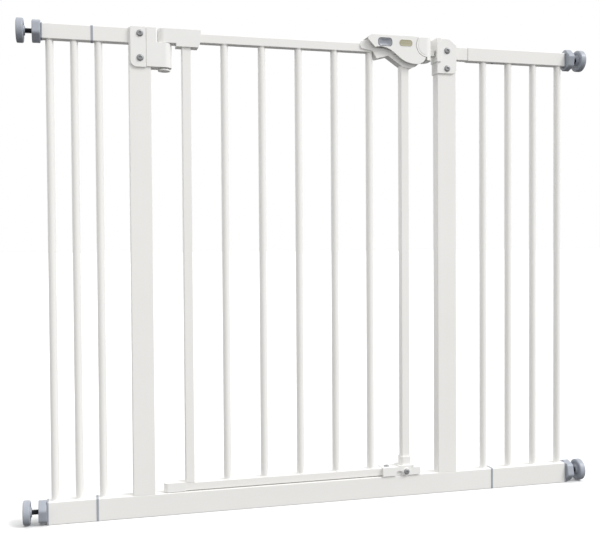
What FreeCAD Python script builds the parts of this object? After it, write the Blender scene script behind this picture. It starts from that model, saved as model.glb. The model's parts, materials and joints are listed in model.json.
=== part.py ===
import FreeCAD, Part
import math
import os

# Pressure-mounted safety gate. Millimetres.
# X runs along the gate, +Y is the far side, +Z is up. The origin is on the floor,
# midway between the two walls and in the middle plane of the gate.

V = FreeCAD.Vector
X_AXIS = V(1, 0, 0)
Y_AXIS = V(0, 1, 0)
Z_AXIS = V(0, 0, 1)

# ---- overall sizes ----
wall_to_wall = 964.0
gate_height = 766.5
frame_depth = 20.0
top_rail_depth = 15.0
post_width = 34.0
top_rail_height = 23.5
bottom_rail_height = 35.3
steel_wall = 1.0
tube_corner = 1.2
bar_diameter = 12.0
bar_wall = 0.8

# ---- fits ----
joint_gap = 0.3
fixed_gap = 0.1
pin_gap = 0.06

# ---- lengths along the gate ----
left_extension_reach = 73.2
right_extension_reach = 142.9
left_stub_reach = 55.3
right_stub_reach = 67.2
end_bar_inset = 10.2
left_stub_bar_inset = 9.7
right_stub_bar_inset = 12.2
left_extension_bar_count = 2
right_extension_bar_count = 3
collar_width = 3.5
collar_proud = 0.5
connector_reach = 30.0
sleeve_length = 43.0
snap_button_offset = 6.0
snap_radius = 3.0
snap_proud = 1.6
snap_travel = 1.4
snap_length = 9.0

# ---- wall fittings ----
pad_radius = 16.4
pad_thickness = 3.0
pad_proud = 0.5
cup_radius = 18.6
cup_depth = 10.5
cup_edge_round = 1.6
cup_seat_wall = 1.2
cup_hub_radius = 8.0
cup_hub_proud = 2.0
cup_ring_width = 4.5
cup_ring_recess = 1.5
spindle_radius = 4.0
spindle_length = 62.0
spindle_bury = 6.0
spindle_gap = 12.1
nut_length = 12.1
nut_radius = 18.6
nut_flat_reach = 16.9
flange_thickness = 2.4
plug_length = 14.0
bottom_spindle_height = 19.4

# ---- door ----
hinge_offset = 20.9
hinge_upright_offset = 34.6
latch_upright_offset = 58.3
door_bar_count = 5
upright_width = 14.0
upright_depth = 15.0
upright_wall = 1.2
door_rail_depth = 14.0
door_drop = 3.0
door_top_rail_height = 14.5
door_bottom_rail_lift = 1.2
door_bottom_rail_height = 12.9
door_bottom_rail_start = 8.4

# ---- upper hinge ----
bracket_height = 61.0
bracket_cap = 1.5
plate_thickness = 2.6
plate_edge_inset = 2.2
plate_width = 23.4
plate_corner = 10.0
plate_drop = 1.3
groove_width = 1.6
groove_depth = 1.9
hinge_box_radius = 12.0
hinge_arm_wall = 2.6
hinge_arm_clearance = 2.6
hinge_arm_rise = 1.5
hinge_arm_height = 22.0
hinge_arm_reach = 57.4
hinge_step_gap = 0.8
hinge_collar_drop = 5.0
hinge_collar_start = 18.7
hinge_collar_slope = 4.0
hinge_pin_radius = 4.0
hinge_pin_engagement = 14.0
hinge_pin_head_radius = 9.7
hinge_pin_head_height = 3.0
hinge_pin_neck_radius = 6.0
hinge_pin_neck_height = 1.5

# ---- lower hinge ----
pivot_radius = 3.0
pivot_height = 9.0
pivot_cap_radius = 6.5
pivot_cap_wall = 1.4
pivot_cap_cover = 0.9
washer_radius = 6.0
washer_thickness = 0.5

# ---- bracket fasteners ----
screw_radius = 2.5
screw_head_radius = 5.4
screw_head_height = 2.2
hinge_screw_drops = (8.7, 46.5)
keeper_screw_drops = (9.1, 39.2)
back_nut_radius = 4.6
back_nut_height = 3.0

# ---- keeper on the right post ----
keeper_rise = 11.5
keeper_box_height = 39.9
keeper_height = 59.2
keeper_box_proud = 2.0
keeper_box_wall = 4.0
keeper_sleeve_proud = 1.0
keeper_sleeve_wall = 2.2
keeper_sleeve_step = 1.0
keeper_box_width = 5.0
keeper_shoulder_start = 18.0
keeper_shoulder_drop = 9.6
keeper_curve_run = 7.0
keeper_curve_drop = 4.0
keeper_curve_end = 2.0
keeper_corner = 9.0
keeper_pocket_depth = 1.6

# ---- upper latch: heights are measured from the hub's centre ----
hub_drop = 3.0
hub_inset = 21.0
hub_radius = 19.2
hub_parting = 0.9
hub_parting_end = -97.0
latch_rise = 13.5
cheek_thickness = 2.7
roof_thickness = 2.5
base_wall = 1.8
base_floor = 1.8
base_slim_wall = 1.1
arm_room_reach = 23.0
arm_room_drop = 14.0
arm_room_slant = 5.0
base_end_wall = 2.3
base_rise = 9.5
nose_rise = 12.5
nose_drop = 24.5
nose_reach = 10.2
nose_corner = 12.0
hub_line_radius = 15.8
hub_line_width = 0.8
hub_line_depth = 0.5
hub_line_back = 2.4
hub_line_rise = 8.6
lever_pin_radius = 3.0
lever_pin_cover = 1.5
lever_eye_radius = 5.5
lever_arm_thickness = 2.9
lever_arm_gap = 0.5
lever_swing_radius = 9.5
lever_swing_drop = 1.8
peg_drop = 8.0
peg_radius = 2.0
peg_end_radius = 4.5
riser_start = 20.7
riser_width = 9.0
riser_foot = 2.0
riser_lean = 1.0
riser_end_radius = 4.1
button_offset = 37.9
button_rise = 2.0
button_width = 24.6
button_tall = 13.8
button_corner = 5.0
button_recess = 0.6
button_thickness = 4.4
button_dish_radius = 45.0
button_dish_depth = 0.9
button_window_margin = 2.0
release_spring_radius = 2.8
release_spring_rise = 6.0
lever_spring_radius = 5.2
spring_wall = 0.9

# The handle's side view: (distance past the latch upright towards the hinge, rise).
handle_heel = (55.2, -7.3)
handle_tip = (67.5, 5.7)
handle_brow = (65.5, 10.9)
handle_crown_reach = 61.0
handle_grip = (43.0, -5.9)
handle_slope_top = (28.1, -10.4)
handle_slope_foot = (6.7, -26.0)
handle_belly = (-11.3, -31.7)
handle_chin = (-29.4, -28.6)

# The fixed base's side view, in the same way.
base_tail = (79.4, -3.6)
base_tail_low = (77.2, -9.0)
base_step = (57.1, -12.8)
base_hook = (50.4, -24.6)
base_hook_end = (42.7, -22.5)
base_slope_top = (30.0, -19.2)
base_slope_foot = (6.0, -35.2)
base_keel = (-1.5, -37.7)
base_keel_end = (-9.0, -38.5)
base_heel = (-16.3, -35.3)
base_heel_top = (-16.8, -26.0)
base_chin = (-31.0, -20.5)
base_nose_low = (-40.0, -17.5)
base_nose_high = (-40.0, -2.0)
base_roof_end = -20.5
base_roof_start = 62.0
base_tail_shoulder = (68.0, 6.0)
base_tail_high = (77.4, 2.5)

# ---- bolts ----
rod_radius = 3.0
rod_head_width = 9.0
rod_head_depth = 10.0
rod_head_height = 10.0
rod_eye_side = 3.2
rod_tip_gap = 0.4
top_bolt_width = 13.0
top_bolt_height = 9.0
top_bolt_drop = 15.0
top_bolt_length = 35.0
top_bolt_gap = 0.5
top_bolt_travel = 7.1

# ---- lower latch ----
lower_block_start = 43.0
lower_block_wall = 5.0
lower_block_gap = 0.6
lower_block_cover = 0.9
lower_block_end = 9.0
sleeve_side_wall = 1.6
sleeve_front_wall = 1.9
sleeve_height = 16.5
sleeve_corner = 3.0
foot_spread = 6.0
foot_height = 2.0
foot_corner = 4.0
tongue_reach = 24.4
tongue_step = 2.0
tongue_corner = 2.5
boss_radius = 6.3
boss_drop = 8.2
boss_proud = 6.0
boss_offset = 1.2
boss_screw_radius = 5.0
boss_screw_head = 1.8
block_screw_offset = 33.0
block_screw_radius = 4.6
block_screw_head = 2.0
scoop_offset = 13.5
scoop_radius = 6.0
scoop_rise = 1.9
scoop_front = 3.0
catch_radius = 7.0
catch_sleeve_radius = 5.5
catch_bore_radius = 3.6
catch_depth = 12.0

# ---- positions that follow from the sizes ----
wall_x = wall_to_wall / 2
fitting_stack = pad_proud + cup_depth + spindle_gap + nut_length + joint_gap + flange_thickness
rail_end_x = wall_x - fitting_stack
left_joint_x = left_extension_reach - rail_end_x
right_joint_x = rail_end_x - right_extension_reach
left_post_x = left_joint_x + left_stub_reach
right_post_x = right_joint_x - right_stub_reach - post_width
left_post_centre = left_post_x + post_width / 2
right_post_centre = right_post_x + post_width / 2
hinge_x = left_post_x + post_width + hinge_offset
hinge_upright_x = hinge_x + hinge_upright_offset
latch_upright_x = right_post_x - latch_upright_offset
hub_x = right_post_x - hub_inset
top_rail_bottom = gate_height - top_rail_height
top_spindle_height = gate_height - top_rail_height / 2
door_top_rail_top = gate_height - door_drop
door_top_rail_bottom = door_top_rail_top - door_top_rail_height
door_bottom_rail_z = bottom_rail_height + door_bottom_rail_lift
door_bottom_rail_top = door_bottom_rail_z + door_bottom_rail_height
half_depth = frame_depth / 2
hinge_arm_radius = upright_depth / 2 + fixed_gap + hinge_arm_wall
hinge_arm_top = gate_height + hinge_arm_rise
hinge_arm_bottom = hinge_arm_top - hinge_arm_height
hinge_screw_heights = [gate_height - drop for drop in hinge_screw_drops]
keeper_screw_heights = [gate_height - drop for drop in keeper_screw_drops]
keeper_top = gate_height + keeper_rise
keeper_box_bottom = keeper_top - keeper_box_height
keeper_bottom = keeper_top - keeper_height
keeper_box_depth = frame_depth + 2 * keeper_box_wall
keeper_sleeve_depth = frame_depth + 2 * keeper_sleeve_wall
hub_height = gate_height - hub_drop
latch_top = hub_height + latch_rise
nose_top = hub_height + nose_rise
nose_bottom = hub_height - nose_drop
peg_height = hub_height - peg_drop
button_height = hub_height + button_rise
release_spring_height = hub_height + release_spring_rise
top_bolt_bottom = hub_height - top_bolt_drop
pivot_cap_top = door_bottom_rail_top + pivot_cap_cover
pivot_cap_depth = door_rail_depth + 2 * (fixed_gap + pivot_cap_wall)
lower_block_bottom = bottom_rail_height + lower_block_gap
lower_block_top = door_bottom_rail_top + lower_block_cover
lower_block_depth = door_rail_depth + 2 * (fixed_gap + lower_block_wall)
sleeve_width = upright_width + 2 * (fixed_gap + sleeve_side_wall)
sleeve_depth = upright_depth + 2 * (fixed_gap + sleeve_front_wall)
sleeve_top = lower_block_top + sleeve_height
tongue_top = lower_block_top - tongue_step
boss_height = lower_block_top - boss_drop
boss_front = upright_depth / 2 + boss_proud
scoop_height = lower_block_bottom + scoop_rise
keeper_face_x = right_post_x - keeper_box_proud
snap_x = right_joint_x + snap_button_offset
snap_low = top_rail_bottom - snap_proud
door_bar_step = (latch_upright_x - hinge_upright_x) / (door_bar_count + 1)


# ---- small helpers ----
def block(x0, x1, y0, y1, z0, z1):
    return Part.makeBox(x1 - x0, y1 - y0, z1 - z0, V(x0, y0, z0))


def cylinder(radius, length, start, direction):
    return Part.makeCylinder(radius, length, start, direction)


def joined(first, *others):
    return first.multiFuse(list(others)).removeSplitter()


def cut(shape, *tools):
    for tool in tools:
        shape = shape.cut(tool)
    return shape


def rounded_face(width, height, radius):
    """A rounded rectangle about the origin, in the XY plane."""
    w = width / 2
    h = height / 2
    k = radius * (1 - math.sqrt(0.5))
    corners = ((w, h), (-w, h), (-w, -h), (w, -h))
    turns = ((1, 0), (0, 1), (-1, 0), (0, -1))
    edges = []
    previous = None
    first = None
    for (cx, cy), (tx, ty) in zip(corners, turns):
        sx = math.copysign(1, cx)
        sy = math.copysign(1, cy)
        if tx:
            start = V(cx, cy - sy * radius, 0)
            end = V(cx - sx * radius, cy, 0)
        else:
            start = V(cx - sx * radius, cy, 0)
            end = V(cx, cy - sy * radius, 0)
        middle = V(cx - sx * k, cy - sy * k, 0)
        if previous is not None:
            edges.append(Part.LineSegment(previous, start).toShape())
        else:
            first = start
        edges.append(Part.Arc(start, middle, end).toShape())
        previous = end
    edges.append(Part.LineSegment(previous, first).toShape())
    return Part.Face(Part.Wire(edges))


def bar_along_x(x0, x1, depth, z0, z1, radius):
    """A solid bar along X with a rounded section, centred on Y = 0."""
    face = rounded_face(z1 - z0, depth, radius)
    face.rotate(V(0, 0, 0), Y_AXIS, 90)
    face.translate(V(x0, 0, (z0 + z1) / 2))
    return face.extrude(V(x1 - x0, 0, 0))


def tube_along_x(x0, x1, depth, z0, z1, wall, radius):
    outer = bar_along_x(x0, x1, depth, z0, z1, radius)
    inner = bar_along_x(x0, x1, depth - 2 * wall, z0 + wall, z1 - wall, radius - wall / 2)
    return outer.cut(inner)


def bar_along_z(x, width, depth, z0, z1, radius):
    face = rounded_face(width, depth, radius)
    face.translate(V(x, 0, z0))
    return face.extrude(V(0, 0, z1 - z0))


def tube_along_z(x, width, depth, z0, z1, wall, radius):
    outer = bar_along_z(x, width, depth, z0, z1, radius)
    inner = bar_along_z(x, width - 2 * wall, depth - 2 * wall, z0, z1, radius - wall / 2)
    return outer.cut(inner)


def round_bar(x, z0, z1):
    start = V(x, 0, z0)
    outer = cylinder(bar_diameter / 2, z1 - z0, start, Z_AXIS)
    return outer.cut(cylinder(bar_diameter / 2 - bar_wall, z1 - z0, start, Z_AXIS))


def plate(edges, depth):
    """Edges of an outline in the XZ plane, made a plate that is centred on Y = 0."""
    face = Part.Face(Part.Wire(Part.__sortEdges__(edges)))
    face.translate(V(0, -depth / 2, 0))
    return face.extrude(V(0, depth, 0))


def line(start, end):
    return Part.LineSegment(V(start[0], 0, start[1]), V(end[0], 0, end[1])).toShape()


def arc(start, middle, end):
    points = [V(p[0], 0, p[1]) for p in (start, middle, end)]
    return Part.Arc(*points).toShape()


def smooth(points):
    curve = Part.BSplineCurve()
    curve.interpolate([V(x, 0, z) for x, z in points])
    return curve.toShape()


def polygon(points, depth):
    edges = [line(a, b) for a, b in zip(points, points[1:] + points[:1])]
    return plate(edges, depth)


def link(start, start_radius, end, end_radius, depth):
    """A flat link with a round end about each of two points in the XZ plane."""
    dx = end[0] - start[0]
    dz = end[1] - start[1]
    length = math.hypot(dx, dz)
    along = math.atan2(dz, dx)
    lean = math.acos((start_radius - end_radius) / length)

    def on(centre, radius, angle):
        return (centre[0] + radius * math.cos(angle), centre[1] + radius * math.sin(angle))

    a = on(start, start_radius, along + lean)
    b = on(end, end_radius, along + lean)
    c = on(end, end_radius, along - lean)
    d = on(start, start_radius, along - lean)
    tip = on(end, end_radius, along)
    tail = on(start, start_radius, along + math.pi)
    return plate([line(a, b), arc(b, tip, c), line(c, d), arc(d, tail, a)], depth)


def rounded_slab(x, z, width, tall, radius, y0, y1):
    """A slab with rounded corners that faces along Y."""
    face = rounded_face(width, tall, radius)
    face.rotate(V(0, 0, 0), X_AXIS, 90)
    face.translate(V(x, y0, z))
    return face.extrude(V(0, y1 - y0, 0))


def turned(points, centre, direction):
    """A solid of revolution from (distance along the axis, radius) points."""
    edges = []
    for (s0, r0), (s1, r1) in zip(points, points[1:] + points[:1]):
        if (s0, r0) != (s1, r1):
            edges.append(Part.LineSegment(V(s0, r0, 0), V(s1, r1, 0)).toShape())
    face = Part.Face(Part.Wire(edges))
    solid = face.revolve(V(0, 0, 0), X_AXIS, 360)
    if direction.x < 0:
        solid.rotate(V(0, 0, 0), Z_AXIS, 180)
    solid.translate(centre)
    return solid


def domed_head(radius, height, start, direction):
    """A low domed screw head that starts at a flat seat."""
    sphere_radius = (radius * radius + height * height) / (2 * height)
    centre = start + direction * (height - sphere_radius)
    ball = Part.makeSphere(sphere_radius, centre)
    return ball.common(cylinder(radius * 1.5, height * 2, start, direction))


def both_sides(shape):
    return [shape, shape.mirror(V(0, 0, 0), Y_AXIS)]


def front_half(shape):
    box = shape.BoundBox
    return shape.common(block(box.XMin - 1, box.XMax + 1, box.YMin - 1, 0, box.ZMin - 1, box.ZMax + 1))


def back_half(shape):
    box = shape.BoundBox
    return shape.common(block(box.XMin - 1, box.XMax + 1, 0, box.YMax + 1, box.ZMin - 1, box.ZMax + 1))


def evenly(first, step, count):
    return [first + step * index for index in range(count)]


# ---- frame ----
def bottom_rail(x0, x1):
    return tube_along_x(x0, x1, frame_depth, 0, bottom_rail_height, steel_wall, tube_corner)


def top_rail(x0, x1):
    return tube_along_x(x0, x1, top_rail_depth, top_rail_bottom, gate_height, steel_wall, tube_corner)


def frame_bottom_rail():
    tube = bottom_rail(left_joint_x + collar_width / 2, right_joint_x - collar_width / 2)
    below_wall = bottom_rail_height - 2 * steel_wall
    pivot_hole = cylinder(pivot_radius, 3 * steel_wall, V(hinge_x, 0, below_wall), Z_AXIS)
    catch_hole = cylinder(catch_radius, 3 * steel_wall, V(latch_upright_x, 0, below_wall), Z_AXIS)
    return cut(tube, pivot_hole, catch_hole)


def post(centre, screw_heights):
    tube = tube_along_z(centre, post_width, frame_depth, bottom_rail_height, gate_height,
                        steel_wall, tube_corner)
    holes = [screw_hole(centre, z) for z in screw_heights]
    return cut(tube, *holes)


def screw_hole(x, z):
    return cylinder(screw_radius + fixed_gap, 2 * frame_depth, V(x, -frame_depth, z), Y_AXIS)


def stub_tube():
    """The stub on the right post, one tube size smaller than the rail that slides over it."""
    shrink = steel_wall + fixed_gap
    start = right_post_x + post_width
    end = right_joint_x - connector_reach / 2
    return tube_along_x(start, end, top_rail_depth - 2 * shrink, top_rail_bottom + shrink,
                        gate_height - shrink, steel_wall, tube_corner - steel_wall / 2)


def side_bars():
    end_bar = rail_end_x - end_bar_inset
    left_stub_bar = left_joint_x + left_stub_bar_inset
    right_stub_bar = right_joint_x - right_stub_bar_inset
    left_step = (left_stub_bar + end_bar) / left_extension_bar_count
    right_step = (end_bar - right_stub_bar) / right_extension_bar_count
    left = evenly(-end_bar, left_step, left_extension_bar_count + 1)
    right = evenly(right_stub_bar, right_step, right_extension_bar_count + 1)
    return [Part.makeCompound([round_bar(x, bottom_rail_height, top_rail_bottom) for x in places])
            for places in (left, right)]


def connector(x, depth, z0, z1):
    """A plastic joiner between two rails: a spigot each way and a collar between."""
    inset = steel_wall + fixed_gap
    spigot = bar_along_x(x - connector_reach, x + connector_reach, depth - 2 * inset,
                         z0 + inset, z1 - inset, tube_corner - steel_wall / 2)
    low = z0 if z0 == 0 else z0 - collar_proud
    ring = bar_along_x(x - collar_width / 2, x + collar_width / 2, depth + 2 * collar_proud,
                       low, z1 + collar_proud, tube_corner + collar_proud)
    return joined(spigot, ring)


def top_stub_connector():
    """The joiner of the two top right rails. It starts past the stub tube's end."""
    inset = steel_wall + fixed_gap
    start = right_joint_x - connector_reach / 2 + joint_gap
    spigot = bar_along_x(start, right_joint_x + connector_reach, top_rail_depth - 2 * inset,
                         top_rail_bottom + inset, gate_height - inset, tube_corner - steel_wall / 2)
    bore_top = snap_low + snap_radius + snap_length + snap_travel + joint_gap
    bore = cylinder(snap_radius + joint_gap, bore_top - top_rail_bottom, V(snap_x, 0, top_rail_bottom),
                    Z_AXIS)
    return spigot.cut(bore)


def snap_button():
    """The spring button that locks the top right joint. It stands out under the rail."""
    neck = V(snap_x, 0, snap_low + snap_radius)
    shank = cylinder(snap_radius, snap_length, neck, Z_AXIS)
    tip = Part.makeSphere(snap_radius, neck)
    tip = tip.common(block(snap_x - snap_radius, snap_x + snap_radius, -snap_radius, snap_radius,
                           snap_low, neck.z))
    return joined(shank, tip)


def end_plug(side, depth, z0, z1, spindle_z):
    """Closes a rail's end and guides the spindle."""
    low = z0 if z0 == 0 else z0 - collar_proud
    inset = steel_wall + fixed_gap
    outer = rail_end_x + flange_thickness
    inner = rail_end_x - plug_length
    flange = bar_along_x(min(side * outer, side * rail_end_x), max(side * outer, side * rail_end_x),
                         depth + 2 * collar_proud, low, z1 + collar_proud, tube_corner + collar_proud)
    spigot = bar_along_x(min(side * inner, side * rail_end_x), max(side * inner, side * rail_end_x),
                         depth - 2 * inset, z0 + inset, z1 - inset, tube_corner - steel_wall / 2)
    bore = cylinder(spindle_radius + joint_gap, wall_x, V(0, 0, spindle_z), V(side, 0, 0))
    return joined(flange, spigot).cut(bore)


# ---- wall fittings: distances run from the wall towards the gate ----
def spindle(side, z):
    start = V(side * (wall_x - spindle_bury), 0, z)
    return cylinder(spindle_radius, spindle_length, start, V(-side, 0, 0))


def wall_cup(side, z):
    front = pad_proud
    back = pad_proud + cup_depth
    seat = pad_thickness
    inner = pad_radius + fixed_gap
    ring_inner = cup_radius - cup_seat_wall - cup_ring_width
    profile = [
        (seat, 0),
        (seat, inner),
        (front, inner),
        (front, cup_radius - cup_edge_round / 2),
        (front + cup_edge_round / 2, cup_radius),
        (back - cup_edge_round, cup_radius),
        (back - cup_edge_round * 0.3, cup_radius - cup_edge_round * 0.3),
        (back, cup_radius - cup_edge_round),
        (back, ring_inner),
        (back - cup_ring_recess, ring_inner - cup_ring_recess / 2),
        (back - cup_ring_recess, cup_hub_radius),
        (back + cup_hub_proud, cup_hub_radius - cup_ring_recess / 2),
        (back + cup_hub_proud, spindle_radius),
        (spindle_bury, spindle_radius),
        (spindle_bury, 0),
    ]
    return turned(profile, V(side * wall_x, 0, z), V(-side, 0, 0))


def cup_pad(side, z):
    bevel = pad_proud
    profile = [(0, 0), (0, pad_radius - bevel), (bevel, pad_radius), (pad_thickness, pad_radius),
               (pad_thickness, 0)]
    return turned(profile, V(side * wall_x, 0, z), V(-side, 0, 0))


def hand_nut(side, z, turn):
    """A hexagon hand nut with rounded corners."""
    inner = wall_x - pad_proud - cup_depth - spindle_gap - nut_length
    corner = nut_flat_reach / math.cos(math.pi / 6)
    points = [V(0, corner * math.cos(a), corner * math.sin(a))
              for a in (math.radians(turn) + math.pi / 3 * k for k in range(6))]
    hexagon = Part.Face(Part.makePolygon(points + points[:1])).extrude(V(nut_length, 0, 0))
    nut = hexagon.common(cylinder(nut_radius, nut_length, V(0, 0, 0), X_AXIS))
    nut = nut.cut(cylinder(spindle_radius + pin_gap, nut_length, V(0, 0, 0), X_AXIS))
    if side < 0:
        nut.rotate(V(0, 0, 0), Z_AXIS, 180)
    nut.translate(V(side * inner, 0, z))
    return nut


# ---- upper hinge ----
bracket_bottom = gate_height + bracket_cap - bracket_height
box_step = hinge_arm_bottom - hinge_step_gap


def hinge_bracket():
    """Both plates and the hinge box in one, before it is parted at Y = 0."""
    top = gate_height + bracket_cap
    left = left_post_x + plate_edge_inset
    right = left + plate_width
    low = bracket_bottom - plate_drop
    bend = plate_corner * (1 - math.sqrt(0.5))
    outline = [
        line((left, top), (left, low + plate_corner)),
        arc((left, low + plate_corner), (left + bend, low + bend), (left + plate_corner, low)),
        line((left + plate_corner, low), (right, low)),
        line((right, low), (right, top)),
        line((right, top), (left, top)),
    ]
    plates = plate(outline, frame_depth + 2 * plate_thickness)
    neck_depth = frame_depth + 2 * (plate_thickness - groove_depth)
    box_start = right + groove_width
    neck = block(right, box_start, -neck_depth / 2, neck_depth / 2, bracket_bottom, top)
    box = block(box_start, hinge_x, -hinge_box_radius, hinge_box_radius, bracket_bottom, top)
    barrel = cylinder(hinge_box_radius, bracket_height, V(hinge_x, 0, bracket_bottom), Z_AXIS)
    whole = joined(plates, neck, box, barrel)
    room = hinge_arm_radius + hinge_arm_clearance
    arm_space = block(hinge_x - room, hinge_x + 2 * room, -2 * room, 2 * room, box_step, top + 1)
    post_space = block(left_post_x, left_post_x + post_width, -half_depth, half_depth, 0, gate_height)
    hollow_side = hinge_box_radius - plate_thickness
    hollow = block(left_post_x + post_width + plate_thickness, hinge_x - room, -hollow_side, hollow_side,
                   bracket_bottom + plate_thickness, box_step - plate_thickness)
    bore = cylinder(hinge_pin_radius + pin_gap, bracket_height, V(hinge_x, 0, bracket_bottom), Z_AXIS)
    holes = [screw_hole(left_post_centre, z) for z in hinge_screw_heights]
    return cut(whole, arm_space, post_space, hollow, bore, *holes)


def top_hinge_pin():
    neck_low = bracket_bottom - hinge_pin_neck_height
    head_low = neck_low - hinge_pin_head_height
    head = cylinder(hinge_pin_head_radius, hinge_pin_head_height, V(hinge_x, 0, head_low), Z_AXIS)
    neck = cylinder(hinge_pin_neck_radius, hinge_pin_neck_height, V(hinge_x, 0, neck_low), Z_AXIS)
    top = hinge_arm_bottom + hinge_pin_engagement
    shank = cylinder(hinge_pin_radius, top - neck_low, V(hinge_x, 0, neck_low), Z_AXIS)
    return joined(head, neck, shank)


def top_hinge_arm():
    """The casing on the door's upper corner, which swings about the hinge pin."""
    end = hinge_x + hinge_arm_reach
    depth = 2 * hinge_arm_radius
    tall = hinge_arm_top - hinge_arm_bottom
    barrel = cylinder(hinge_arm_radius, tall, V(hinge_x, 0, hinge_arm_bottom), Z_AXIS)
    low = hinge_arm_bottom - hinge_collar_drop
    start = hinge_x + hinge_collar_start
    side = polygon([(hinge_x, hinge_arm_top), (end, hinge_arm_top),
                    (end, hinge_arm_bottom + hinge_collar_drop),
                    (end - hinge_collar_slope, low), (start, low), (start, hinge_arm_bottom),
                    (hinge_x, hinge_arm_bottom)], depth)
    whole = joined(barrel, side)
    bore = cylinder(hinge_pin_radius + pin_gap, hinge_pin_engagement + joint_gap,
                    V(hinge_x, 0, hinge_arm_bottom), Z_AXIS)
    return cut(whole, bore, upright_space(hinge_upright_x), door_top_rail_space())


def upright_space(x):
    return bar_along_z(x, upright_width + 2 * fixed_gap, upright_depth + 2 * fixed_gap,
                       door_bottom_rail_top, door_top_rail_top + fixed_gap, tube_corner)


def door_top_rail_space():
    return bar_along_x(hinge_upright_x, latch_upright_x, door_rail_depth + 2 * fixed_gap,
                       door_top_rail_bottom - fixed_gap, door_top_rail_top + fixed_gap, tube_corner)


def door_bottom_rail_space():
    return bar_along_x(hinge_x + door_bottom_rail_start, latch_upright_x + lower_block_end,
                       door_rail_depth + 2 * fixed_gap, door_bottom_rail_z - fixed_gap,
                       door_bottom_rail_top + fixed_gap, tube_corner)


# ---- lower hinge ----
def bottom_hinge_pin():
    low = bottom_rail_height - 4 * steel_wall
    return cylinder(pivot_radius, bottom_rail_height + pivot_height - low, V(hinge_x, 0, low), Z_AXIS)


def bottom_hinge_washer():
    start = V(hinge_x, 0, bottom_rail_height)
    disc = cylinder(washer_radius, washer_thickness, start, Z_AXIS)
    return disc.cut(cylinder(pivot_radius + pin_gap, washer_thickness, start, Z_AXIS))


def bottom_hinge_cap():
    """The cap on the end of the door's bottom rail. It turns on the lower pin."""
    low = bottom_rail_height + washer_thickness + joint_gap
    end = hinge_upright_x - upright_width / 2 - fixed_gap
    start = hinge_x - pivot_cap_radius
    width = end - start
    body = bar_along_z((start + end) / 2, width, pivot_cap_depth, low, pivot_cap_top,
                       pivot_cap_radius - tube_corner / 2)
    square = block(end - width / 2, end, -pivot_cap_depth / 2, pivot_cap_depth / 2, low, pivot_cap_top)
    bore = cylinder(pivot_radius + pin_gap, bottom_rail_height + pivot_height + joint_gap - low,
                    V(hinge_x, 0, low), Z_AXIS)
    return cut(joined(body, square), bore, door_bottom_rail_space())


# ---- door frame ----
def door_rail(x0, x1, z0, z1):
    return tube_along_x(x0, x1, door_rail_depth, z0, z1, steel_wall, tube_corner)


def door_top_rail():
    start = hinge_upright_x + upright_width / 2
    end = latch_upright_x - upright_width / 2
    return door_rail(start, end, door_top_rail_bottom, door_top_rail_top)


def door_bottom_rail():
    start = hinge_x + door_bottom_rail_start
    end = latch_upright_x + upright_width / 2
    tube = door_rail(start, end, door_bottom_rail_z, door_bottom_rail_top)
    rod_hole = cylinder(rod_radius + joint_gap, bottom_rail_height,
                        V(latch_upright_x, 0, bottom_rail_height), Z_AXIS)
    screw_shank = cylinder(screw_radius, bottom_rail_height, V(block_screw_x, 0, lower_screw_end), Z_AXIS)
    return cut(tube, rod_hole, screw_shank)


def upright(x):
    return tube_along_z(x, upright_width, upright_depth, door_bottom_rail_top, door_top_rail_top,
                        upright_wall, tube_corner)


def latch_upright():
    """The hollow upright on the latch side. Slots at its top let the lever's peg reach the rod."""
    slot_side = rod_eye_side
    slot = block(latch_upright_x - slot_side, latch_upright_x + slot_side, -upright_depth, upright_depth,
                 peg_height - peg_radius - joint_gap, gate_height)
    return upright(latch_upright_x).cut(slot)


def door_bars():
    places = evenly(hinge_upright_x + door_bar_step, door_bar_step, door_bar_count)
    return Part.makeCompound([round_bar(x, door_bottom_rail_top, door_top_rail_bottom) for x in places])


# ---- brackets' fasteners ----
def through_screw(x, z, depth):
    """A domed screw from the front plate to just past the nut on the back plate."""
    seat = V(x, -depth / 2, z)
    shank = cylinder(screw_radius, depth + back_nut_height, seat, Y_AXIS)
    return joined(shank, domed_head(screw_head_radius, screw_head_height, seat, V(0, -1, 0)))


def back_nut(x, z, depth):
    seat = V(x, depth / 2, z)
    nut = Part.makeCylinder(back_nut_radius, back_nut_height, seat, Y_AXIS)
    points = [V(x + back_nut_radius * math.cos(a), depth / 2, z + back_nut_radius * math.sin(a))
              for a in (math.pi / 3 * k for k in range(6))]
    hexagon = Part.Face(Part.makePolygon(points + points[:1])).extrude(V(0, back_nut_height, 0))
    return hexagon.common(nut).cut(cylinder(screw_radius + pin_gap, back_nut_height, seat, Y_AXIS))


def bracket_fasteners():
    hinge_depth = frame_depth + 2 * plate_thickness
    places = [(left_post_centre, z, hinge_depth) for z in hinge_screw_heights]
    places += [(right_post_centre, z, keeper_sleeve_depth) for z in keeper_screw_heights]
    screws = Part.makeCompound([through_screw(*place) for place in places])
    nuts = Part.makeCompound([back_nut(*place) for place in places])
    return screws, nuts


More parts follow.
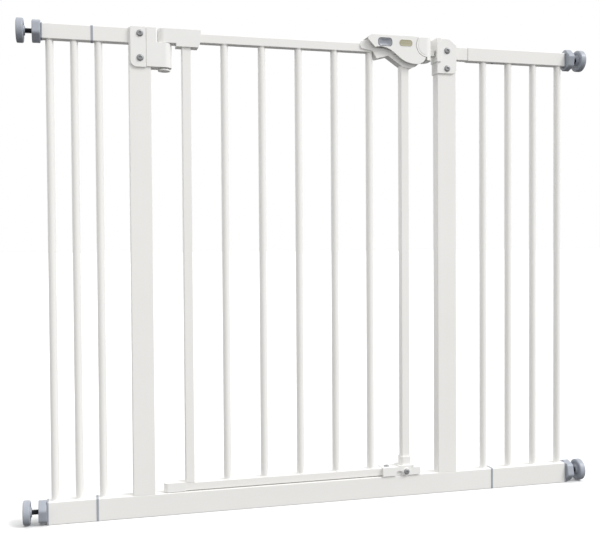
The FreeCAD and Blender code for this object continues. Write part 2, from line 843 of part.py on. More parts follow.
# ---- keeper ----
def keeper():
    """The strike bracket round the right post, before it is parted at Y = 0."""
    right = right_post_x + post_width
    sleeve_left = right_post_x - keeper_sleeve_proud
    box_left = keeper_face_x
    shoulder_x = right_post_x + keeper_shoulder_start
    shoulder_z = keeper_top - keeper_shoulder_drop
    sleeve_top_z = keeper_top - keeper_sleeve_step
    side_top = (right, shoulder_z - keeper_sleeve_step)
    bend = keeper_corner * (1 - math.sqrt(0.5))
    sleeve = plate([
        line((sleeve_left, keeper_bottom), (sleeve_left, sleeve_top_z)),
        line((sleeve_left, sleeve_top_z), (shoulder_x, sleeve_top_z)),
        smooth([(shoulder_x, sleeve_top_z), (shoulder_x + keeper_curve_run, keeper_top - keeper_curve_drop),
                (right - keeper_curve_end, shoulder_z), side_top]),
        line(side_top, (right, keeper_bottom + keeper_corner)),
        arc((right, keeper_bottom + keeper_corner), (right - bend, keeper_bottom + bend),
            (right - keeper_corner, keeper_bottom)),
        line((right - keeper_corner, keeper_bottom), (sleeve_left, keeper_bottom)),
    ], keeper_sleeve_depth)
    box = block(box_left, right_post_x + keeper_box_width, -keeper_box_depth / 2, keeper_box_depth / 2,
                keeper_box_bottom, keeper_top)
    post_space = block(right_post_x, right, -half_depth, half_depth, 0, gate_height)
    pocket_side = top_bolt_width / 2 + joint_gap
    pocket = block(box_left, box_left + keeper_pocket_depth, -pocket_side, pocket_side,
                   top_bolt_bottom - joint_gap, top_bolt_bottom + top_bolt_height + joint_gap)
    holes = [screw_hole(right_post_centre, z) for z in keeper_screw_heights]
    return cut(joined(sleeve, box), post_space, pocket, *holes)


# ---- upper latch ----
arm_inner = upright_depth / 2 + lever_arm_gap
arm_outer = arm_inner + lever_arm_thickness
arm_middle = (arm_inner + arm_outer) / 2
base_side = arm_outer + joint_gap + base_wall
base_depth = 2 * base_side
latch_side = base_side + joint_gap + cheek_thickness
latch_depth = 2 * latch_side
button_x = latch_upright_x - button_offset
button_outer = latch_side - button_recess
button_inner = button_outer - button_thickness
hub = (hub_x, hub_height)
peg = (latch_upright_x, peg_height)
slim_depth = upright_depth + 2 * (fixed_gap + base_slim_wall)
arm_room_end = latch_upright_x - base_heel[0] - base_end_wall


def at(point):
    """A point of the latch's side view, from its distance past the latch upright and its rise."""
    return (latch_upright_x - point[0], hub_height + point[1])


def nose():
    """The round hub and the nose beside it, with the nose's corners rounded in plan."""
    tip = hub_x + nose_reach
    disc = cylinder(hub_radius, latch_depth, V(hub_x, -latch_side, hub_height), Y_AXIS)
    body = block(hub_x, tip, -latch_side, latch_side, nose_bottom, nose_top)
    start = hub_x - hub_radius - nose_corner
    plan = bar_along_z((start + tip) / 2, tip - start, latch_depth, nose_bottom, nose_top, nose_corner)
    return joined(disc, body).common(plan)


def hub_lines():
    """The fine curved line sunk in each face of the hub."""
    ring = cylinder(hub_line_radius + hub_line_width, latch_depth, V(hub_x, -latch_side, hub_height), Y_AXIS)
    ring = ring.cut(cylinder(hub_line_radius, latch_depth, V(hub_x, -latch_side, hub_height), Y_AXIS))
    inside = latch_side - hub_line_depth
    core = block(hub_x - hub_radius, hub_x, -inside, inside, hub_height - hub_radius, latch_top)
    reach = block(hub_x - hub_radius, hub_x - hub_line_back, -latch_side, latch_side,
                  hub_height - hub_radius, hub_height + hub_line_rise)
    return ring.common(reach).cut(core)


def arm_region(margin, depth):
    """The room round the lever's arms, its lower left corner cut off, grown by a margin."""
    start = latch_upright_x - arm_room_reach - margin
    low = hub_height - arm_room_drop - margin
    return polygon([(start, latch_top), (start, low + arm_room_slant), (start + arm_room_slant, low),
                    (arm_room_end, low), (arm_room_end, latch_top)], depth)


def base_body():
    """The base is slim round the door's tubes, and deeper where it holds the lever's arms."""
    underside = [base_tail, base_tail_low, base_step, base_hook, base_hook_end, base_slope_top, base_slope_foot,
                 base_keel, base_keel_end, base_heel, base_heel_top, base_chin, base_nose_low, base_nose_high]
    roof = [(base_roof_end, base_rise), (base_roof_start, base_rise), base_tail_shoulder, base_tail_high]
    outline = [at(point) for point in underside + roof]
    deep = polygon(outline, base_depth).common(arm_region(base_floor, base_depth))
    beside_hub = block(arm_room_end - base_end_wall, hub_x, -base_side, base_side,
                       hub_height - arm_room_drop - base_floor, hub_height + base_rise)
    return joined(polygon(outline, slim_depth), deep, beside_hub, nose())


def latch_base():
    """The fixed housing of the upper latch. It grips the door's corner and carries the lever."""
    window_side = button_width / 2 + button_window_margin
    window_low = button_height - button_tall / 2 - button_window_margin
    window = block(button_x - window_side, button_x + window_side, -base_side, base_side, window_low, latch_top)
    swing_centre = (arm_room_end, hub_height - lever_swing_drop)
    arm_space = arm_region(0, base_depth - 2 * base_wall)
    arm_room = link(hub, lever_eye_radius + joint_gap, swing_centre, lever_swing_radius,
                    lever_arm_thickness + 2 * joint_gap)
    rooms = []
    for side in (-1, 1):
        room = arm_room.copy()
        room.translate(V(0, side * arm_middle, 0))
        rooms.append(room)
    pin_bore = lever_pin()
    spring_half = top_bolt_width / 2
    spring_room = cylinder(lever_spring_radius + joint_gap, top_bolt_width, V(hub_x, -spring_half, hub_height),
                           Y_AXIS)
    bolt_back = keeper_face_x - top_bolt_gap - top_bolt_length - top_bolt_travel - joint_gap
    bolt_room = block(bolt_back, hub_x + 2 * nose_reach, -spring_half - joint_gap, spring_half + joint_gap,
                      top_bolt_bottom - joint_gap, top_bolt_bottom + top_bolt_height + joint_gap)
    last_bar_space = cylinder(bar_diameter / 2 + fixed_gap, latch_depth,
                              V(latch_upright_x - door_bar_step, 0, door_top_rail_bottom - latch_depth), Z_AXIS)
    return cut(base_body(), hub_lines(), arm_space, window, *rooms, pin_bore, spring_room, bolt_room,
               last_bar_space, upright_space(latch_upright_x), door_top_rail_space())


def lever_pin():
    half = latch_side - lever_pin_cover
    return cylinder(lever_pin_radius, 2 * half, V(hub_x, -half, hub_height), Y_AXIS)


def sleeve_spring(radius, length, centre_x, z):
    """A plain sleeve along Y that stands for a coil spring."""
    start = V(centre_x, -length / 2, z)
    outer = cylinder(radius, length, start, Y_AXIS)
    return outer.cut(cylinder(radius - spring_wall, length, start, Y_AXIS))


def lever_spring():
    """Stands for the torsion spring round the lever's pin."""
    return sleeve_spring(lever_spring_radius, top_bolt_width - 2 * joint_gap, hub_x, hub_height)


def cover_outline():
    """The lever's side view. Its right end is cut round the hub."""
    parting = hub_radius + hub_parting
    top_angle = math.asin(latch_rise / parting)
    top_end = (hub_x - parting * math.cos(top_angle), latch_top)
    left_side = (hub_x - parting, hub_height)
    toe_angle = math.radians(hub_parting_end)
    toe = (hub_x + parting * math.cos(toe_angle), hub_height + parting * math.sin(toe_angle))
    shoulder = (latch_upright_x - handle_crown_reach, latch_top)
    below = [handle_chin, handle_belly, handle_slope_foot, handle_slope_top, handle_grip, handle_heel]
    return [
        line(at(handle_heel), at(handle_tip)),
        arc(at(handle_tip), at(handle_brow), shoulder),
        line(shoulder, top_end),
        arc(top_end, left_side, toe),
        smooth([toe] + [at(point) for point in below]),
    ]


def lever_cover():
    """The handle's hollow shell, with a window each side for a button."""
    shell = plate(cover_outline(), latch_depth)
    inside = latch_side - cheek_thickness
    cavity = block(latch_upright_x - 2 * handle_tip[0], hub_x + hub_radius, -inside, inside,
                   peg_height - latch_depth * 2, latch_top - roof_thickness)
    window = rounded_slab(button_x, button_height, button_width + 2 * joint_gap, button_tall + 2 * joint_gap,
                          button_corner + joint_gap, -latch_depth, latch_depth)
    return cut(shell, cavity, window)


def lever_arm():
    """One of the two arms, from the pin to the peg and on to the riser that joins it to the cover."""
    riser_left = latch_upright_x - riser_start
    riser_right = riser_left + riser_width
    riser_low = peg_height - riser_foot
    riser_high = latch_top - roof_thickness / 2
    riser_end = (riser_left + riser_width / 2, peg_height + riser_lean)
    riser = polygon([(riser_left, riser_low), (riser_right, riser_low), (riser_right, riser_high),
                     (riser_left, riser_high)], lever_arm_thickness)
    return joined(link(hub, lever_eye_radius, peg, peg_end_radius, lever_arm_thickness),
                  link(peg, peg_end_radius, riser_end, riser_end_radius, lever_arm_thickness), riser)


def latch_lever():
    """The handle that is lifted: a cover over the base, with two arms to the pin and a peg for the rod."""
    arms = []
    for side in (-1, 1):
        arm = lever_arm()
        arm.translate(V(0, side * arm_middle, 0))
        arms.append(arm)
    cross_peg = cylinder(peg_radius, 2 * arm_middle, V(peg[0], -arm_middle, peg[1]), Y_AXIS)
    eye = cylinder(lever_pin_radius + pin_gap, latch_depth, V(hub_x, -latch_side, hub_height), Y_AXIS)
    return joined(lever_cover(), *arms, cross_peg).cut(eye)


def release_button():
    """The front thumb button, with a dished face."""
    body = rounded_slab(button_x, button_height, button_width, button_tall, button_corner,
                        -button_inner, -button_outer)
    dish_y = button_dish_depth - button_outer - button_dish_radius
    dish_low = V(button_x, dish_y, button_height - button_tall)
    dish = cylinder(button_dish_radius, 2 * button_tall, dish_low, Z_AXIS)
    return body.cut(dish)


def release_spring():
    """Stands for the coil spring that pushes the two buttons apart."""
    return sleeve_spring(release_spring_radius, 2 * button_inner, button_x, release_spring_height)


# ---- bolts ----
def lift_rod():
    """The rod inside the latch upright. Its head takes the lever's peg and its foot is the lower bolt."""
    tip = bottom_rail_height + rod_tip_gap
    head_low = peg_height - rod_head_height / 2
    rod = cylinder(rod_radius, head_low - tip, V(latch_upright_x, 0, tip), Z_AXIS)
    head_side = rod_head_width / 2
    head_front = rod_head_depth / 2
    head = block(latch_upright_x - head_side, latch_upright_x + head_side, -head_front, head_front, head_low,
                 head_low + rod_head_height)
    eye_side = peg_radius + joint_gap
    eye = block(latch_upright_x - rod_eye_side, latch_upright_x + rod_eye_side, -rod_head_depth, rod_head_depth,
                peg_height - eye_side, peg_height + eye_side)
    return joined(rod, head).cut(eye)


def top_bolt():
    tip = keeper_face_x - top_bolt_gap
    side = top_bolt_width / 2
    nose_length = top_bolt_gap * 4
    plan = [V(tip - top_bolt_length, -side, top_bolt_bottom), V(tip - nose_length, -side, top_bolt_bottom),
            V(tip, -side + nose_length, top_bolt_bottom), V(tip, side - nose_length, top_bolt_bottom),
            V(tip - nose_length, side, top_bolt_bottom), V(tip - top_bolt_length, side, top_bolt_bottom)]
    return Part.Face(Part.makePolygon(plan + plan[:1])).extrude(V(0, 0, top_bolt_height))


# ---- lower latch ----
block_screw_x = latch_upright_x - block_screw_offset
lower_screw_end = door_bottom_rail_z + steel_wall
boss_x = latch_upright_x - boss_offset


def lower_latch_housing():
    """The moulding on the door's lower latch corner, which guides the rod's foot."""
    start = latch_upright_x - lower_block_start
    end = latch_upright_x + lower_block_end
    side = lower_block_depth / 2
    body = block(start, end, -side, side, lower_block_bottom, lower_block_top)
    tongue_start = end - 2 * tongue_corner
    tongue_end = latch_upright_x + tongue_reach
    tongue = rounded_slab((tongue_start + tongue_end) / 2, (lower_block_bottom + tongue_top) / 2,
                          tongue_end - tongue_start, tongue_top - lower_block_bottom, tongue_corner,
                          -side, side)
    sleeve = bar_along_z(latch_upright_x, sleeve_width, sleeve_depth, lower_block_top - foot_height, sleeve_top,
                         sleeve_corner)
    foot = bar_along_z(latch_upright_x, sleeve_width + 2 * foot_spread, lower_block_depth, lower_block_top,
                       lower_block_top + foot_height, foot_corner)
    boss = cylinder(boss_radius, boss_front, V(boss_x, -boss_front, boss_height), Y_AXIS)
    whole = joined(body, tongue, sleeve, foot, boss)
    scoop = cylinder(scoop_radius, 2 * scoop_front,
                     V(latch_upright_x - scoop_offset, -side - scoop_front, scoop_height), Y_AXIS)
    rod_bore = cylinder(rod_radius + joint_gap, lower_block_top, V(latch_upright_x, 0, 0), Z_AXIS)
    front_hole = cylinder(screw_radius, boss_proud + pin_gap, V(boss_x, -boss_front, boss_height), Y_AXIS)
    top_hole = cylinder(screw_radius, lower_block_top, V(block_screw_x, 0, lower_screw_end), Z_AXIS)
    upper_space = bar_along_z(latch_upright_x, upright_width + 2 * fixed_gap, upright_depth + 2 * fixed_gap,
                              door_bottom_rail_top, sleeve_top, tube_corner)
    return cut(whole, scoop, rod_bore, front_hole, top_hole, upper_space, door_bottom_rail_space())


def lower_latch_screws():
    front_seat = V(boss_x, -boss_front, boss_height)
    front = joined(cylinder(screw_radius - pin_gap, boss_proud, front_seat, Y_AXIS),
                   domed_head(boss_screw_radius, boss_screw_head, front_seat, V(0, -1, 0)))
    top_seat = V(block_screw_x, 0, lower_block_top)
    shank = cylinder(screw_radius - pin_gap, lower_block_top - lower_screw_end,
                     V(block_screw_x, 0, lower_screw_end), Z_AXIS)
    top = joined(shank, domed_head(block_screw_radius, block_screw_head, top_seat, Z_AXIS))
    return Part.makeCompound([front, top])


def lower_catch():
    """The insert in the bottom rail that the rod's foot drops into."""
    flange = cylinder(catch_radius, steel_wall, V(latch_upright_x, 0, bottom_rail_height - steel_wall), Z_AXIS)
    low = bottom_rail_height - catch_depth
    sleeve = cylinder(catch_sleeve_radius, catch_depth - steel_wall, V(latch_upright_x, 0, low), Z_AXIS)
    bore = cylinder(catch_bore_radius, catch_depth, V(latch_upright_x, 0, low), Z_AXIS)
    return joined(flange, sleeve).cut(bore)


# ---- write the nodes ----
def add(name, shape):
    os.makedirs("parts", exist_ok=True)
    shape.exportStep("parts/" + name + ".step")


collar_edge = collar_width / 2
left_bars, right_bars = side_bars()
add("frame_bottom_rail", frame_bottom_rail())
add("frame_left_post", post(left_post_centre, hinge_screw_heights))
add("frame_right_post", post(right_post_centre, keeper_screw_heights))
add("frame_left_top_rail", top_rail(left_joint_x + collar_edge, left_post_x))
add("frame_right_top_stub", stub_tube())
snap_hole = cylinder(snap_radius + joint_gap, top_rail_height / 2, V(snap_x, 0, top_rail_bottom - steel_wall),
                     Z_AXIS)
add("frame_right_top_rail", top_rail(right_joint_x - sleeve_length, right_joint_x))
add("left_side_bars", left_bars)
add("right_side_bars", right_bars)
add("left_extension_top_rail", top_rail(-rail_end_x, left_joint_x - collar_edge))
add("left_extension_bottom_rail", bottom_rail(-rail_end_x, left_joint_x - collar_edge))
add("right_extension_top_rail", top_rail(right_joint_x, rail_end_x).cut(snap_hole))
add("right_extension_bottom_rail", bottom_rail(right_joint_x + collar_edge, rail_end_x))
add("rail_connectors", Part.makeCompound([
    connector(left_joint_x, top_rail_depth, top_rail_bottom, gate_height),
    connector(left_joint_x, frame_depth, 0, bottom_rail_height),
    connector(right_joint_x, frame_depth, 0, bottom_rail_height),
    top_stub_connector(),
]))
add("snap_button", snap_button())
plug_levels = (
    (top_rail_depth, top_rail_bottom, gate_height, top_spindle_height),
    (frame_depth, 0, bottom_rail_height, bottom_spindle_height),
)
add("end_plugs", Part.makeCompound([end_plug(side, *level) for side in (-1, 1) for level in plug_levels]))

for side, side_name in ((-1, "left"), (1, "right")):
    for z, level, turn in ((top_spindle_height, "top", 12), (bottom_spindle_height, "bottom", -12)):
        corner = side_name + "_" + level
        add(corner + "_spindle", spindle(side, z))
        add(corner + "_wall_cup", wall_cup(side, z))
        add(corner + "_cup_pad", cup_pad(side, z))
        add(corner + "_hand_nut", hand_nut(side, z, turn))

bracket = hinge_bracket()
add("hinge_bracket_front", front_half(bracket))
add("hinge_bracket_back", back_half(bracket))
strike = keeper()
add("keeper_front", front_half(strike))
add("keeper_back", back_half(strike))
screws, nuts = bracket_fasteners()
add("bracket_screws", screws)
add("bracket_nuts", nuts)
add("top_hinge_pin", top_hinge_pin())
add("bottom_hinge_pin", bottom_hinge_pin())
add("bottom_hinge_washer", bottom_hinge_washer())
add("lower_catch", lower_catch())

add("door_top_rail", door_top_rail())
add("door_bottom_rail", door_bottom_rail())
add("door_hinge_upright", upright(hinge_upright_x))
add("door_latch_upright", latch_upright())
add("door_bars", door_bars())
add("top_hinge_arm", top_hinge_arm())
add("bottom_hinge_cap", bottom_hinge_cap())
add("latch_base", latch_base())
add("lever_pin", lever_pin())
add("lever_spring", lever_spring())
add("lower_latch_housing", lower_latch_housing())
add("lower_latch_screws", lower_latch_screws())
add("latch_lever", latch_lever())
front_button, rear_button = both_sides(release_button())
add("front_release_button", front_button)
add("rear_release_button", rear_button)
add("release_spring", release_spring())
add("lift_rod", lift_rod())
add("top_bolt", top_bolt())
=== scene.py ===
import json
import math
import random

import bmesh
import bpy
from mathutils import Matrix, Vector


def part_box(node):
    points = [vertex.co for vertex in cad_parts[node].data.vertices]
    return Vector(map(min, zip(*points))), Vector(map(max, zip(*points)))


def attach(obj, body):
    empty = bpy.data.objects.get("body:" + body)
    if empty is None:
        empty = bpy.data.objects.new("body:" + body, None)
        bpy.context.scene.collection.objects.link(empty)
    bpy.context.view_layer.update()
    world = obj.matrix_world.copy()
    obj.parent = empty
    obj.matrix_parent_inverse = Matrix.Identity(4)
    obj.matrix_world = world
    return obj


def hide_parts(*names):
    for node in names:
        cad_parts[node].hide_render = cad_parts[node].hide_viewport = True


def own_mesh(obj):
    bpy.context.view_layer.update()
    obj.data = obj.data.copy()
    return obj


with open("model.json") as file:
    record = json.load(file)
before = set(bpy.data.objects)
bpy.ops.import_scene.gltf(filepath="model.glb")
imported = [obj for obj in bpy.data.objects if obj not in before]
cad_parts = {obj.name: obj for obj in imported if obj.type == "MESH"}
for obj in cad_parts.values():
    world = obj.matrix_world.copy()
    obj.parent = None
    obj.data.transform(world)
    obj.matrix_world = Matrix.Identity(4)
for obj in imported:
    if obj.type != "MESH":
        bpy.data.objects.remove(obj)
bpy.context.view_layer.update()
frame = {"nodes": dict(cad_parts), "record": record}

random.seed(7)

MM = 0.001
X = Vector((1, 0, 0))
Y = Vector((0, 1, 0))
Z = Vector((0, 0, 1))
SIDES = (("left", -1), ("right", 1))
CORNERS = [(side + "_" + level, sign) for side, sign in SIDES for level in ("top", "bottom")]
SLOTS = {row["node"]: row["material_slot"] for row in frame["record"]["subparts"]}


def add_object(name, data):
    made = bpy.data.objects.new(name, data)
    bpy.context.scene.collection.objects.link(made)
    return made


# ---- materials ----
NOISE_LOW = 0.3  # most of a noise texture lies between these two
NOISE_HIGH = 0.7
COARSE_GRAIN = 3.3  # how many times larger the coarse bump is than the fine one


def map_range(tree, source, from_low, from_high, to_low, to_high):
    node = tree.nodes.new("ShaderNodeMapRange")
    node.inputs["From Min"].default_value = from_low
    node.inputs["From Max"].default_value = from_high
    node.inputs["To Min"].default_value = to_low
    node.inputs["To Max"].default_value = to_high
    tree.links.new(source, node.inputs["Value"])
    return node.outputs["Result"]


def bump(tree, height, depth, strength):
    node = tree.nodes.new("ShaderNodeBump")
    node.inputs["Distance"].default_value = depth
    node.inputs["Strength"].default_value = strength
    tree.links.new(height, node.inputs["Height"])
    return node


def material(name, dark, light, rough, grain, depth, tone=6.0, rough_swing=0.05, stretch=(1, 1, 1),
             **sockets):
    """A paint, plastic or metal: cloudy tone, grain in the roughness and two sizes of bump.

    grain and tone are the scales of the fine grain and of the clouds, and depth is the grain's height.
    """
    made = bpy.data.materials.new(name)
    made.use_nodes = True
    tree = made.node_tree
    shader = tree.nodes["Principled BSDF"]
    for socket, value in sockets.items():
        shader.inputs[socket.replace("_", " ").title()].default_value = value
    coordinates = tree.nodes.new("ShaderNodeTexCoord")
    mapping = tree.nodes.new("ShaderNodeMapping")
    mapping.inputs["Scale"].default_value = stretch
    tree.links.new(coordinates.outputs["Object"], mapping.inputs["Vector"])

    def noise(scale, detail):
        node = tree.nodes.new("ShaderNodeTexNoise")
        node.inputs["Scale"].default_value = scale
        node.inputs["Detail"].default_value = detail
        tree.links.new(mapping.outputs["Vector"], node.inputs["Vector"])
        return node.outputs["Fac"]

    def spread(source, low, high):
        return map_range(tree, source, NOISE_LOW, NOISE_HIGH, low, high)

    cloud = noise(tone, 3)
    fine = noise(grain, 2)
    coarse = noise(grain / COARSE_GRAIN, 1)
    mix = tree.nodes.new("ShaderNodeMix")
    mix.data_type = "RGBA"
    mix.inputs["A"].default_value = (*dark, 1)
    mix.inputs["B"].default_value = (*light, 1)
    tree.links.new(spread(cloud, 0, 1), mix.inputs["Factor"])
    tree.links.new(mix.outputs["Result"], shader.inputs["Base Color"])
    tree.links.new(spread(fine, rough - rough_swing, rough + rough_swing), shader.inputs["Roughness"])
    small = bump(tree, fine, depth, strength=0.5)
    large = bump(tree, coarse, depth * 2, strength=0.6)
    tree.links.new(small.outputs["Normal"], large.inputs["Normal"])
    tree.links.new(large.outputs["Normal"], shader.inputs["Normal"])
    return made


LOOKS = {
    "white_steel": material(
        "powder_coat", (0.838, 0.829, 0.806), (0.866, 0.857, 0.836), 0.38, 1500, 4e-5,
        coat_weight=0.12, coat_roughness=0.25),
    "white_plastic": material(
        "white_moulding", (0.842, 0.836, 0.816), (0.868, 0.862, 0.844), 0.42, 4200, 2e-5, tone=14),
    "grey_plastic": material(
        "grey_moulding", (0.335, 0.360, 0.410), (0.380, 0.405, 0.455), 0.40, 3800, 2.5e-5, tone=30),
    "pad_rubber": material(
        "rubber", (0.10, 0.108, 0.125), (0.135, 0.142, 0.16), 0.72, 3000, 4e-5, tone=60),
    "zinc_steel": material(
        "zinc", (0.30, 0.305, 0.315), (0.38, 0.385, 0.395), 0.5, 2500, 1.5e-5,
        tone=240, rough_swing=0.1, metallic=0.55),
    "plain_steel": material(
        "bright_steel", (0.50, 0.50, 0.51), (0.62, 0.62, 0.63), 0.28, 900, 1.5e-5,
        tone=90, rough_swing=0.08, stretch=(1, 1, 0.08), metallic=1.0),
    "dark_steel": material(
        "black_thread", (0.026, 0.03, 0.036), (0.06, 0.065, 0.075), 0.42, 1800, 2e-5,
        tone=320, rough_swing=0.12, metallic=0.55),
}
BUTTON_GREY = material(
    "button_moulding", (0.270, 0.285, 0.325), (0.315, 0.330, 0.370), 0.30, 4200, 2e-5, tone=40)
SATIN_PLATE = material(
    "satin_plate", (0.36, 0.34, 0.24), (0.44, 0.42, 0.31), 0.36, 700, 1e-5,
    tone=120, rough_swing=0.08, stretch=(0.06, 1, 1), metallic=0.6)
PALE_FLOOR = material("pale_floor", (0.93, 0.93, 0.93), (0.95, 0.95, 0.95), 0.7, 300, 1e-5, tone=2)


# ---- CAD nodes that keep their shape ----
SAME_POINT = 2e-6  # CAD vertices nearer than this are one corner
FLAT_ANGLE = 0.4  # degrees: faces this close to flat join into one
SHARP_ANGLE = 38  # degrees: edges sharper than this are rounded


def dress(node):
    """Gives a CAD node the material of its slot."""
    for slot in frame["nodes"][node].material_slots:
        slot.link = "OBJECT"
        slot.material = LOOKS[SLOTS[node]]


def smooth_normals(shown):
    normals = shown.modifiers.new("normals", "WEIGHTED_NORMAL")
    normals.keep_sharp = False


def soften(shown, width):
    """Rounds the edges, as a mould leaves them."""
    weld = shown.modifiers.new("weld", "WELD")
    weld.merge_threshold = SAME_POINT
    flat = shown.modifiers.new("flat", "DECIMATE")
    flat.decimate_type = "DISSOLVE"
    flat.angle_limit = math.radians(FLAT_ANGLE)
    bevel = shown.modifiers.new("edges", "BEVEL")
    bevel.limit_method = "ANGLE"
    bevel.angle_limit = math.radians(SHARP_ANGLE)
    bevel.width = width
    bevel.segments = 3
    smooth_normals(shown)


def islands(node):
    """The boxes of a CAD node's separate solids, from left to right."""
    bm = bmesh.new()
    bm.from_mesh(frame["nodes"][node].data)
    bmesh.ops.remove_doubles(bm, verts=bm.verts, dist=SAME_POINT)
    unseen = set(bm.verts)
    boxes = []
    while unseen:
        todo = [unseen.pop()]
        found = []
        while todo:
            vert = todo.pop()
            found.append(vert.co.copy())
            for edge in vert.link_edges:
                other = edge.other_vert(vert)
                if other in unseen:
                    unseen.remove(other)
                    todo.append(other)
        low = Vector([min(p[k] for p in found) for k in range(3)])
        high = Vector([max(p[k] for p in found) for k in range(3)])
        boxes.append((low, high))
    bm.free()
    return sorted(boxes, key=lambda box: (round(box[0].x, 4), box[0].z))


# ---- mesh building ----
SAME_VERTEX = 1e-7


class Shape:
    """Collects vertices and faces of one piece."""

    def __init__(self):
        self.verts = []
        self.faces = []

    def join_rings(self, rings):
        """Makes faces between each ring and the next. Returns where the first and the last ring start."""
        first = len(self.verts)
        count = len(rings[0])
        for ring in rings:
            self.verts.extend(ring)
        for k in range(len(rings) - 1):
            a = first + k * count
            for j in range(count):
                n = (j + 1) % count
                self.faces.append((a + j, a + n, a + count + n, a + count + j))
        return first, first + (len(rings) - 1) * count

    def loft(self, rings):
        """A solid with a face at each end."""
        first, last = self.join_rings(rings)
        count = len(rings[0])
        self.faces.append(tuple(first + j for j in range(count))[::-1])
        self.faces.append(tuple(last + j for j in range(count)))

    def torus(self, rings):
        """A solid whose last ring joins its first."""
        first, last = self.join_rings(rings)
        count = len(rings[0])
        for j in range(count):
            n = (j + 1) % count
            self.faces.append((last + j, last + n, first + n, first + j))

    def piece(self, name, body, look, replaced=()):
        mesh = bpy.data.meshes.new(name)
        mesh.from_pydata([tuple(v) for v in self.verts], [], self.faces)
        bm = bmesh.new()
        bm.from_mesh(mesh)
        bmesh.ops.remove_doubles(bm, verts=bm.verts, dist=SAME_VERTEX)
        bmesh.ops.recalc_face_normals(bm, faces=bm.faces)
        for face in bm.faces:
            face.smooth = True
        bm.to_mesh(mesh)
        bm.free()
        mesh.materials.append(look)
        made = add_object(name, mesh)
        smooth_normals(made)
        if replaced:
            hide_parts(*replaced)
        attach(made, body)
        return made


def sideways(axis):
    """Two directions across an axis."""
    first = Z if abs(axis.z) < 0.5 else X
    return first, axis.cross(first)


def ring_between(centre, u, v, radius, steps):
    """A round ring in the plane of the directions u and v."""
    angles = [2 * math.pi * k / steps for k in range(steps)]
    return [centre + (u * math.cos(a) + v * math.sin(a)) * radius for a in angles]


def circle(centre, axis, radius, steps=48):
    u, v = sideways(axis)
    return ring_between(centre, u, v, radius, steps)


def hexagon(centre, axis, flat, corner, turn=0.0, steps=48):
    """A hexagon with its corners cut to a circle. turn is in degrees."""
    u, v = sideways(axis)
    ring = []
    for k in range(steps):
        a = 2 * math.pi * k / steps
        off = (a - math.radians(turn)) % (math.pi / 3) - math.pi / 6
        radius = min(flat / math.cos(off), corner)
        ring.append(centre + (u * math.cos(a) + v * math.sin(a)) * radius)
    return ring


def rounded_rectangle(centre, width, tall, corner):
    """A ring in the plane of X and Z, with nine points to each corner."""
    steps = 8
    ring = []
    for side_x, side_z, start in ((1, 1, 0), (-1, 1, 90), (-1, -1, 180), (1, -1, 270)):
        middle_x = side_x * (width / 2 - corner)
        middle_z = side_z * (tall / 2 - corner)
        for k in range(steps + 1):
            a = math.radians(start + 90 * k / steps)
            x = middle_x + corner * math.cos(a)
            z = middle_z + corner * math.sin(a)
            ring.append(centre + X * x + Z * z)
    return ring


def eased(profile, radius):
    """A profile of (distance, radius) points with its corners rounded."""
    steps = 4
    points = [Vector(p) for p in profile]
    out = [points[0]]
    for before, here, after in zip(points, points[1:], points[2:]):
        to_before = before - here
        to_after = after - here
        reach = min(radius, to_before.length / 2, to_after.length / 2)
        start = here + to_before.normalized() * reach
        end = here + to_after.normalized() * reach
        for k in range(steps + 1):
            t = k / steps
            out.append(start * (1 - t) ** 2 + here * 2 * t * (1 - t) + end * t ** 2)
    out.append(points[-1])
    return out


def turned(shape, profile, origin, axis, easing):
    """Adds a lathe shape from (distance, radius) points in millimetres, its corners eased."""
    least = 0.02  # the radius of the ends on the axis
    rings = []
    for distance, radius in eased(profile, easing):
        rings.append(circle(origin + axis * (distance * MM), axis, max(radius, least) * MM, 64))
    shape.loft(rings)


def sweep(shape, points, radii, closed=False):
    """A round bar along a path, with a radius for each point."""
    sides = 8
    rings = []
    count = len(points)
    normal = None
    for k, point in enumerate(points):
        after = points[(k + 1) % count] if closed or k < count - 1 else point
        before = points[k - 1] if closed or k else point
        along = (after - before).normalized()
        if normal is None:
            normal = along.orthogonal().normalized()
        normal = (normal - along * normal.dot(along)).normalized()
        rings.append(ring_between(point, normal, along.cross(normal), radii[k], sides))
    if closed:
        shape.torus(rings)
    else:
        shape.loft(rings)


THREAD_RISE = 1.35  # with the slope, how wide the crest of a thread is
THREAD_SLOPE = 3.4
END_DROP = 0.2 * MM  # how far the rod's ends are below the root of the thread
END_SLOPE = 1.2  # how fast the thread rises from the ends


def threaded(shape, start, axis, length, root, crest, pitch, sides=28, per_turn=8):
    """A threaded rod with tapered ends."""
    u, v = sideways(axis)
    steps = int(length / pitch * per_turn)
    rings = []
    for k in range(steps + 1):
        s = length * k / steps
        most = root - END_DROP + min(s, length - s) * END_SLOPE
        ring = []
        for j in range(sides):
            a = 2 * math.pi * j / sides
            phase = (s / pitch - a / (2 * math.pi)) % 1
            height = min(1.0, max(0.0, THREAD_RISE - abs(phase - 0.5) * THREAD_SLOPE))
            radius = min(root + (crest - root) * height, most)
            ring.append(start + axis * s + (u * math.cos(a) + v * math.sin(a)) * radius)
        rings.append(ring)
    shape.loft(rings)


# ---- steel tubes and bars, and the moving rods: their own shape ----
for node in ("frame_bottom_rail", "frame_left_post", "frame_right_post", "frame_left_top_rail",
             "frame_right_top_stub", "frame_right_top_rail", "left_extension_top_rail",
             "left_extension_bottom_rail", "right_extension_top_rail", "right_extension_bottom_rail",
             "left_side_bars", "right_side_bars", "door_bars", "door_top_rail", "door_bottom_rail",
             "door_hinge_upright", "door_latch_upright", "lever_pin", "lift_rod", "top_bolt"):
    dress(node)

